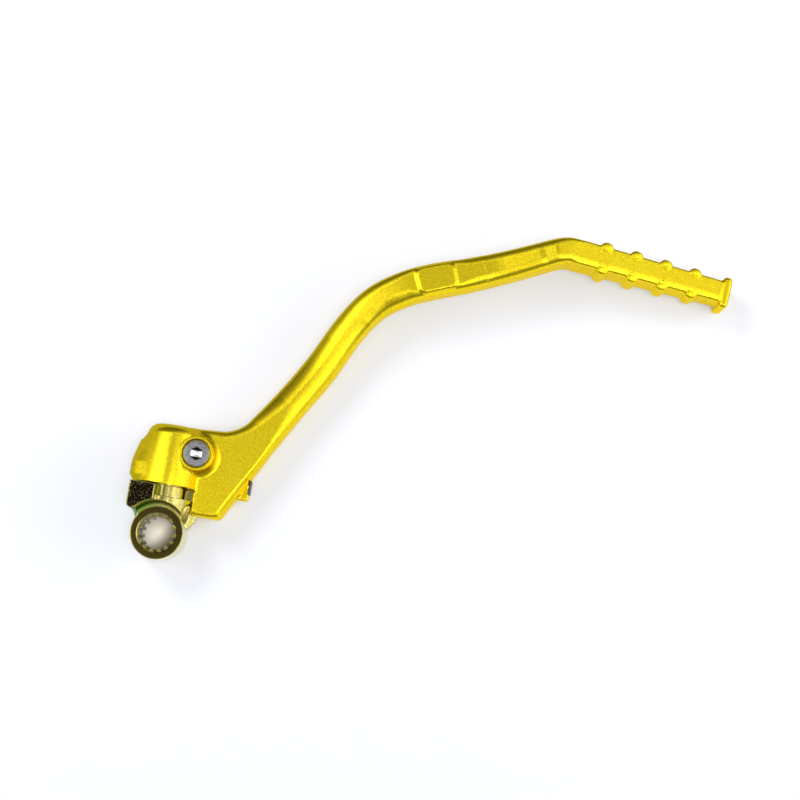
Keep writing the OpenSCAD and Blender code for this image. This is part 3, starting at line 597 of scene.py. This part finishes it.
def anodised_aluminium():
    """Forged aluminium, bead-blasted, anodised yellow: a fine even grain and a satin gloss on every round."""
    material, tree, shader, place = new_material("anodised_blasted_aluminium")
    grain = noise(tree, place, 0.45, 3.0, 0.65)
    cloud = noise(tree, place, 14.0, 2.0)
    base = tint(tree, spread(tree, cloud, 0.35, 0.65), linear("FAE01E"), linear("FDE624"))
    base = tint(tree, spread(tree, grain, 0.38, 0.66), base, linear("BEA40C"))
    tree.links.new(base, shader.inputs["Base Color"])
    shader.inputs["Metallic"].default_value = 1.0
    shader.inputs["Specular Tint"].default_value = linear("FFEE40")
    shader.inputs["Coat Weight"].default_value = 0.1
    shader.inputs["Coat Roughness"].default_value = 0.2
    shader.inputs["Coat IOR"].default_value = 1.5
    rough = spread(tree, grain, 0.3, 0.7, 0.23, 0.31)
    tree.links.new(rough, shader.inputs["Roughness"])
    # beads of 0.3 to 0.5 mm leave dimples about 0.02 mm deep
    beads = noise(tree, place, 0.45, 1.0)
    bump = add(tree, "ShaderNodeBump", {"Height": beads, "Strength": 0.4, "Distance": 0.00004})
    tree.links.new(bump.outputs[0], shader.inputs["Normal"])
    return material


def passivated_steel():
    """Forged steel, zinc-plated and yellow passivated: a mirror-like film, green where milled and kept to the
    left there as painted highlight, painted darker on the hub's faced top as a painted dark reflection, and
    nearly black with pale specks on the block's top.
    """
    material, tree, shader, place = new_material("passivated_zinc_steel")
    way = add(tree, "ShaderNodeSeparateXYZ", {0: place})
    film = noise(tree, place, 7.0, 3.0, 0.6)
    grain = noise(tree, place, 0.4, 3.0, 0.6)
    base = tint(tree, spread(tree, film, 0.38, 0.62), linear("CABC68"), linear("D4D07C"))
    base = tint(tree, spread(tree, grain, 0.4, 0.64), base, linear("8C7E3A"))
    # the milled wall round the bolt face is greener, which is partly the film's own colour; keeping it to the
    # left, where a bright streak lies, is painted highlight
    height = spread(tree, way.outputs["Z"], 23.6, 22.4)
    flat = add(tree, "ShaderNodeVectorMath", {0: place, 1: (1, 1, 0)}, operation="MULTIPLY").outputs[0]
    radius = add(tree, "ShaderNodeVectorMath", {0: flat}, operation="LENGTH").outputs["Value"]
    milled_green_and_highlight = times(tree, height, spread(tree, radius, 12.2, 12.5))
    milled_green_and_highlight = times(tree, milled_green_and_highlight, spread(tree, way.outputs["X"], 3, -8))
    base = tint(tree, milled_green_and_highlight, base, linear("6E9A38"))
    # the faced top of the hub is painted darker: a painted dark reflection of the opening overhead
    above = add(tree, "ShaderNodeMath", {0: way.outputs["Z"], 1: HUB_H}, operation="SUBTRACT").outputs[0]
    gap = add(tree, "ShaderNodeMath", {0: above}, operation="ABSOLUTE").outputs[0]
    hub_top_painted_dark = times(tree, spread(tree, gap, 0.12, 0.06), spread(tree, radius, 11.85, 11.7))
    base = tint(tree, hub_top_painted_dark, base, linear("5E5426"))
    # the block's top is painted nearly black, with pale specks
    specks = spread(tree, noise(tree, place, 0.6, 2.0), 0.6, 0.68)
    dark_specked_top = tint(tree, specks, linear("241E0C"), linear("C8C090"))
    base = tint(tree, spread(tree, way.outputs["Z"], 29.86, 29.95), base, dark_specked_top)
    tree.links.new(base, shader.inputs["Base Color"])
    shader.inputs["Metallic"].default_value = 1.0
    tree.links.new(spread(tree, grain, 0.3, 0.7, 0.06, 0.15), shader.inputs["Roughness"])
    pits = noise(tree, place, 0.8, 1.5)
    rough_top = times(tree, spread(tree, grain, 0.52, 0.66, 0.06, 0.7),
                      spread(tree, way.outputs["Z"], 24.0, 27.0, 0.15, 1.0))
    bump = add(tree, "ShaderNodeBump", {"Height": pits, "Strength": rough_top, "Distance": 0.0001})
    tree.links.new(bump.outputs[0], shader.inputs["Normal"])
    return material


def coated_screw():
    """Steel screw with a dark zinc-flake coat: a dull grey with a faint speckle."""
    material, tree, shader, place = new_material("zinc_flake_screw_steel")
    flake = noise(tree, place, 0.35, 3.0, 0.7)
    base = tint(tree, spread(tree, flake, 0.35, 0.65), linear("48484C"), linear("ACACB0"))
    # the socket is painted: a painted highlight across its middle and painted shade in its end lobes; the
    # head's turned edge is a lighter grey
    middle = (*SCREW, 24.0)
    out = add(tree, "ShaderNodeVectorMath", {0: place, 1: middle}, operation="DISTANCE").outputs["Value"]
    way = add(tree, "ShaderNodeSeparateXYZ", {0: place})
    off = add(tree, "ShaderNodeMath", {0: way.outputs["Y"], 1: SCREW[1]}, operation="SUBTRACT").outputs[0]
    beside = add(tree, "ShaderNodeMath", {0: off}, operation="ABSOLUTE").outputs[0]
    socket_painted_light = tint(tree, spread(tree, beside, 1.2, 1.6), linear("FFFFFF"), linear("141414"))
    base = tint(tree, spread(tree, out, 3.1, 2.8), base, socket_painted_light)
    base = tint(tree, spread(tree, out, 5.85, 5.95), base, linear("D0D0D2"))
    tree.links.new(base, shader.inputs["Base Color"])
    shader.inputs["Metallic"].default_value = 0.9
    tree.links.new(spread(tree, flake, 0.3, 0.7, 0.32, 0.48), shader.inputs["Roughness"])
    bump = add(tree, "ShaderNodeBump", {"Height": flake, "Strength": 0.3, "Distance": 0.00003})
    tree.links.new(bump.outputs[0], shader.inputs["Normal"])
    return material


def moulded_rubber(name):
    """Black nitrile rubber from a mould: matt, with a slight grey bloom."""
    material, tree, shader, place = new_material(name)
    bloom = noise(tree, place, 1.2, 3.0)
    tree.links.new(tint(tree, spread(tree, bloom, 0.35, 0.7), linear("4C4C4E"), linear("7C7C80")),
                   shader.inputs["Base Color"])
    shader.inputs["Roughness"].default_value = 0.6
    bump = add(tree, "ShaderNodeBump", {"Height": bloom, "Strength": 0.2, "Distance": 0.00003})
    tree.links.new(bump.outputs[0], shader.inputs["Normal"])
    return material


def bright_steel():
    """Hardened bearing and spring steel, ground bright: clean grey with a hint of drawing marks."""
    material, tree, shader, place = new_material("ground_bearing_steel")
    marks = noise(tree, place, 0.3, 2.0)
    tree.links.new(tint(tree, marks, linear("B8BABD"), linear("D4D5D6")), shader.inputs["Base Color"])
    shader.inputs["Metallic"].default_value = 1.0
    tree.links.new(spread(tree, marks, 0.3, 0.7, 0.16, 0.26), shader.inputs["Roughness"])
    return material


yellow = anodised_aluminium()
steel = passivated_steel()
screw_steel = coated_screw()
rubber = moulded_rubber("moulded_nitrile_rubber")
bright = bright_steel()


# Pieces

def finish_piece(obj, material, body, slot_name, *nodes):
    """Gives a piece its material and body, and hides the nodes that it stands for; slot_name is not used."""
    obj.data.materials.append(material)
    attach(obj, body)
    if nodes:
        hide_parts(*nodes)


def boss_rim():
    """Turned rim of the boss: outer wall, land, chamfer and counterbore down to the screw's seat."""
    profile = rounded_profile(
        [(BOSS_R + 0.2, 24.2), (BOSS_R + 0.03, BOSS_TOP), (HEAD_R + HEAD_GAP, BOSS_TOP),
         (HEAD_R + 0.2, BOSS_TOP - 0.45), (HEAD_R + 0.2, SEAT_Z), (SHANK_R + 0.3, SEAT_Z)],
        [0, 0.3, 0.12, 0.12, 0.1, 0], 4)
    return turned(profile, SCREW, 128)


arm = field_object("forged_arm", arm_field, (-19, 9.4, -0.6), (247.5, 168.5, 29.4), 0.56, [boss_rim()])
finish_piece(arm, yellow, "arm_body", "anodised_arm", "kick_arm")

knuckle = field_object("steel_knuckle", knuckle_field, (-15.6, -12.7, -0.3), (16.5, 44.5, 30.4), 0.31)
finish_piece(knuckle, steel, "joint_body", "passivated_steel", "knuckle")

buffer = field_object("lug_buffer", buffer_field, (34.6, 24.2, 1.4), (38.3, 31.2, 9.7), 0.16)
finish_piece(buffer, rubber, "arm_body", "black_rubber", "bump_stop")


def retaining_screw():
    """Screw as one profile carried round its axis; in the socket the radius shrinks and swells six times a
    turn, as a cosine."""
    around = 240
    a = np.arange(around) * 2 * np.pi / around
    top = SEAT_Z + HEAD_H
    lobe = 0.42
    step = 0.7
    # radius, height, share of the lobes
    rows = [(0.0, SHANK_END, 0), (SHANK_R - 0.6, SHANK_END, 0), (SHANK_R, SHANK_END + 0.6, 0),
            (SHANK_R, SEAT_Z, 0), (HEAD_R - 0.3, SEAT_Z, 0), (HEAD_R, SEAT_Z + 0.3, 0), (HEAD_R, top - 0.6, 0),
            (HEAD_R - 0.5, top - 0.08, 0), (HEAD_R - 0.75, top, 0), (4.2, top, 0), (3.3, top, 1),
            (2.8, top - 0.4, 1), (2.6, top - 1.7, 1), (2.2, top - 1.8, 0.4), (0.0, top - 2.7, 0)]
    fine = []
    for (r0, z0, l0), (r1, z1, l1) in zip(rows[:-1], rows[1:]):
        n = max(1, int(np.hypot(r1 - r0, z1 - z0) / step))
        fine += [(r0 + (r1 - r0) * k / n, z0 + (z1 - z0) * k / n, l0 + (l1 - l0) * k / n) for k in range(n)]
    fine.append(rows[-1])
    r, z, share = [np.array(v)[:, None] for v in zip(*fine)]
    radius = r - share * lobe * (0.5 - 0.5 * np.cos(6 * a + math.pi)) * np.minimum(1, r / 2)
    points = np.stack([SCREW[0] + radius * np.cos(a), SCREW[1] + radius * np.sin(a), z + 0 * a], -1)
    points = points.reshape(-1, 3)
    n = len(fine)
    faces = ring_faces(n, around)
    # both poles are one point each
    faces[faces < around] = 0
    faces[faces >= (n - 1) * around] = (n - 1) * around
    tri = faces.copy()
    tri[:around, 1] = -1
    tri[-around:, 2] = -1
    kept = np.unique(tri[tri >= 0])
    tri = np.where(tri < 0, -1, np.searchsorted(kept, np.maximum(tri, 0)))
    obj = mesh_object("retaining_screw", points[kept], tri)
    obj.data.set_sharp_from_angle(angle=math.radians(32))
    return obj


screw = retaining_screw()
finish_piece(screw, screw_steel, "arm_body", "dark_screw", "pivot_screw")

for node, material in (("dust_seal", rubber), ("detent_ball", bright), ("detent_spring", bright)):
    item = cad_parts[node]
    if not item.material_slots:
        item.data.materials.append(material)
    for slot in item.material_slots:
        slot.material = material


# Floor, lamps, world and camera

FLOOR_HALF = 3.0
FLOOR_LIFT = 0.36
MIRRORED_PAPER = 0.5


def floor():
    """Pale sheet. Camera rays see it lifted to white, less where the part shuts the light out."""
    mesh = bpy.data.meshes.new("paper_floor")
    corners = [(-FLOOR_HALF, -FLOOR_HALF, 0), (FLOOR_HALF, -FLOOR_HALF, 0), (FLOOR_HALF, FLOOR_HALF, 0),
               (-FLOOR_HALF, FLOOR_HALF, 0)]
    mesh.from_pydata(corners, [], [(0, 1, 2, 3)])
    obj = bpy.data.objects.new("paper_floor", mesh)
    bpy.context.scene.collection.objects.link(obj)
    material = bpy.data.materials.new("matt_white_paper")
    material.use_nodes = True
    tree = material.node_tree
    tree.nodes.clear()
    place = add(tree, "ShaderNodeTexCoord").outputs["Object"]
    place = add(tree, "ShaderNodeVectorMath", {0: place, "Scale": 1000.0}, operation="SCALE").outputs[0]
    way = add(tree, "ShaderNodeSeparateXYZ", {0: place})
    rays = add(tree, "ShaderNodeLightPath")
    # painted light and shade on the paper seen through the bore: a painted pool of light towards the far left,
    # and painted olive shade, as of light off the plated wall, on the near right
    middle = add(tree, "ShaderNodeVectorMath", {0: place, 1: (-1.5, -0.5, 0)}, operation="DISTANCE")
    middle = middle.outputs["Value"]
    lean = add(tree, "ShaderNodeVectorMath", {0: place, 1: (-0.8, 0.6, 0)}, operation="DOT_PRODUCT")
    lean = lean.outputs["Value"]
    bore_painted_light = times(tree, spread(tree, middle, 2.0, 9.5, 1.0, 0.0), spread(tree, lean, -7, 1, 0.0, 1.1))
    bore_painted_shade = times(tree, spread(tree, middle, 11, 9.5), spread(tree, lean, 2, -7, 0.1, 0.95))
    sheet = tint(tree, bore_painted_shade, linear("E0E2EE"), linear("7C6C3C"))
    paper = add(tree, "ShaderNodeBsdfDiffuse", {"Color": sheet})
    openness = add(tree, "ShaderNodeAmbientOcclusion", {"Distance": 0.05}, samples=8).outputs["AO"]
    lift = add(tree, "ShaderNodeMath", {0: bore_painted_light, 1: FLOOR_LIFT}, operation="ADD").outputs[0]
    seen = times(tree, rays.outputs["Is Camera Ray"], lift)
    # painted reflection: the paper glows for the metal's mirror on the near side of the arm only; y of the
    # arm's line at this x
    line = spread(tree, way.outputs["X"], 28, 81, 36, 122)
    for start, end, rise in ((81, 166, 38), (166, 246, -6)):
        part = spread(tree, way.outputs["X"], start, end, 0, rise)
        line = add(tree, "ShaderNodeMath", {0: line, 1: part}, operation="ADD").outputs[0]
    beyond = add(tree, "ShaderNodeMath", {0: way.outputs["Y"], 1: line}, operation="SUBTRACT").outputs[0]
    mirrored = times(tree, spread(tree, beyond, 3, -3, 0.0, MIRRORED_PAPER),
                     spread(tree, way.outputs["X"], -8, -2))
    strength = add(tree, "ShaderNodeMath", {0: rays.outputs["Is Glossy Ray"], 1: mirrored, 2: seen},
                   operation="MULTIPLY_ADD").outputs[0]
    colour = tint(tree, spread(tree, openness, 0.1, 0.5), linear("A8A08A"), linear("FFFFFF"))
    # painted olive shade in the bore's glow as well
    colour = tint(tree, bore_painted_shade, colour, linear("3C3214"))
    glow = add(tree, "ShaderNodeEmission", {"Color": colour, "Strength": strength})
    lit = add(tree, "ShaderNodeAddShader", {0: paper.outputs[0], 1: glow.outputs[0]})
    add(tree, "ShaderNodeOutputMaterial", {"Surface": lit.outputs[0]})
    mesh.materials.append(material)


floor()


def lamp(name, place, aim, size, brightness):
    """Soft lamp at a place, turned to what it lights; brightness is that of its face, where 1 is white. It
    lights the paper and its shadows, and the metal doesn't mirror it."""
    data = bpy.data.lights.new(name, "AREA")
    data.shape = "RECTANGLE"
    data.size, data.size_y = size
    data.energy = brightness * math.pi * size[0] * size[1]
    obj = bpy.data.objects.new(name, data)
    bpy.context.scene.collection.objects.link(obj)
    obj.location = place
    obj.rotation_mode = "QUATERNION"
    obj.rotation_quaternion = (Vector(aim) - Vector(place)).to_track_quat("-Z", "Y")
    obj.visible_glossy = False


LAMP_AIM = (0.10, 0.08, 0.01)
lamp("left_softbox", (-0.95, -0.06, 0.36), LAMP_AIM, (0.7, 0.7), 2.6)
lamp("right_softbox", (1.10, 0.25, 0.36), LAMP_AIM, (1.1, 0.7), 2.6)
lamp("far_left_fill", (-0.75, 0.75, 1.0), LAMP_AIM, (0.5, 0.5), 8.0)
lamp("near_top_fill", (0.30, -0.12, 1.3), LAMP_AIM, (0.35, 0.35), 8.0)

# Shades of the tent: each one's direction, the cosines at which it begins and is full, and what it leaves
SHADES = [((0.0, 1.0, 0.0), 0.3, 0.6, 0.6), ((-0.45, 0.89, 0.0), 0.42, 0.62, 0.26),
          ((-0.17, -0.98, 0.0), 0.2, 0.5, 0.35), ((-0.01, 0.175, 0.984), 0.977, 0.9945, 0.32),
          ((-0.125, 0.02, 0.992), 0.995, 0.9986, 0.4), ((0.42, 0.17, 0.892), 0.93, 0.985, 0.68),
          ((0.12, 0.235, 0.965), 0.9965, 0.999, 0.5)]
# Soft lamps behind the tent, seen in the metal only: the same, with how many times as bright it gets
PATCHES = [((0.34, -0.12, 0.933), 0.982, 0.995, 4.5), ((-0.62, 0.0, 0.785), 0.88, 0.99, 1.7),
           ((-0.93, -0.06, 0.35), 0.75, 0.98, 2.2), ((0.93, 0.2, 0.31), 0.75, 0.98, 2.0)]
# Part of the tent's light that falls on matt surfaces
TENT_ON_MATT = 0.34


def studio_world():
    """Tent that the metal mirrors: bright all round the top with a dark opening overhead, where the camera
    stands, and darker to the far left and low on the near side. Plain white where the camera looks past the
    floor."""
    world = bpy.data.worlds.new("studio")
    bpy.context.scene.world = world
    world.use_nodes = True
    tree = world.node_tree
    tree.nodes.clear()
    direction = add(tree, "ShaderNodeTexCoord").outputs["Generated"]
    way = add(tree, "ShaderNodeSeparateXYZ", {0: direction})

    def patches(value, rows):
        """Value times the level of each row's patch of the tent."""
        for aim, begins, full, most in rows:
            cosine = add(tree, "ShaderNodeVectorMath", {0: direction, 1: aim}, operation="DOT_PRODUCT")
            value = times(tree, value, spread(tree, cosine.outputs["Value"], begins, full, 1.0, most))
        return value

    level = patches(spread(tree, way.outputs["Z"], 0.3, 0.75, 0.85, 1.38), SHADES)
    rays = add(tree, "ShaderNodeLightPath")
    lit = add(tree, "ShaderNodeMath", {0: patches(1.0, PATCHES), 1: rays.outputs["Is Glossy Ray"]},
              operation="POWER").outputs[0]
    matt = spread(tree, rays.outputs["Is Diffuse Ray"], 0.0, 1.0, 1.0, TENT_ON_MATT)
    level = times(tree, times(tree, level, lit), matt)
    grey = add(tree, "ShaderNodeBackground", {"Color": (1, 1, 1, 1), "Strength": level})
    white = add(tree, "ShaderNodeBackground", {"Color": (1, 1, 1, 1), "Strength": 1.0})
    mix = add(tree, "ShaderNodeMixShader",
              {0: rays.outputs["Is Camera Ray"], 1: grey.outputs[0], 2: white.outputs[0]})
    add(tree, "ShaderNodeOutputWorld", {"Surface": mix.outputs[0]})


studio_world()


CAMERA_PLACE = (93.7746, -27.0645, 771.0)
CAMERA_AIM = (99.7497, 78.2436, 21.0)
CAMERA_UP = (-0.1592, 0.9872, 0.0)
CAMERA_LENS = 73.75


def camera():
    """Camera at the photograph's angle, from its place, its aim and its upward direction."""
    place, aim = Vector(CAMERA_PLACE) * MM, Vector(CAMERA_AIM) * MM
    view = (aim - place).normalized()
    right = view.cross(Vector(CAMERA_UP)).normalized()
    up = right.cross(view)
    data = bpy.data.cameras.new("photo_camera")
    data.sensor_width = 36.0
    data.lens = CAMERA_LENS
    data.clip_start, data.clip_end = 0.05, 20.0
    obj = bpy.data.objects.new("photo_camera", data)
    bpy.context.scene.collection.objects.link(obj)
    obj.matrix_world = Matrix.Translation(place) @ Matrix((right, up, -view)).transposed().to_4x4()
    bpy.context.scene.camera = obj


camera()
bpy.context.scene.view_settings.view_transform = "Standard"
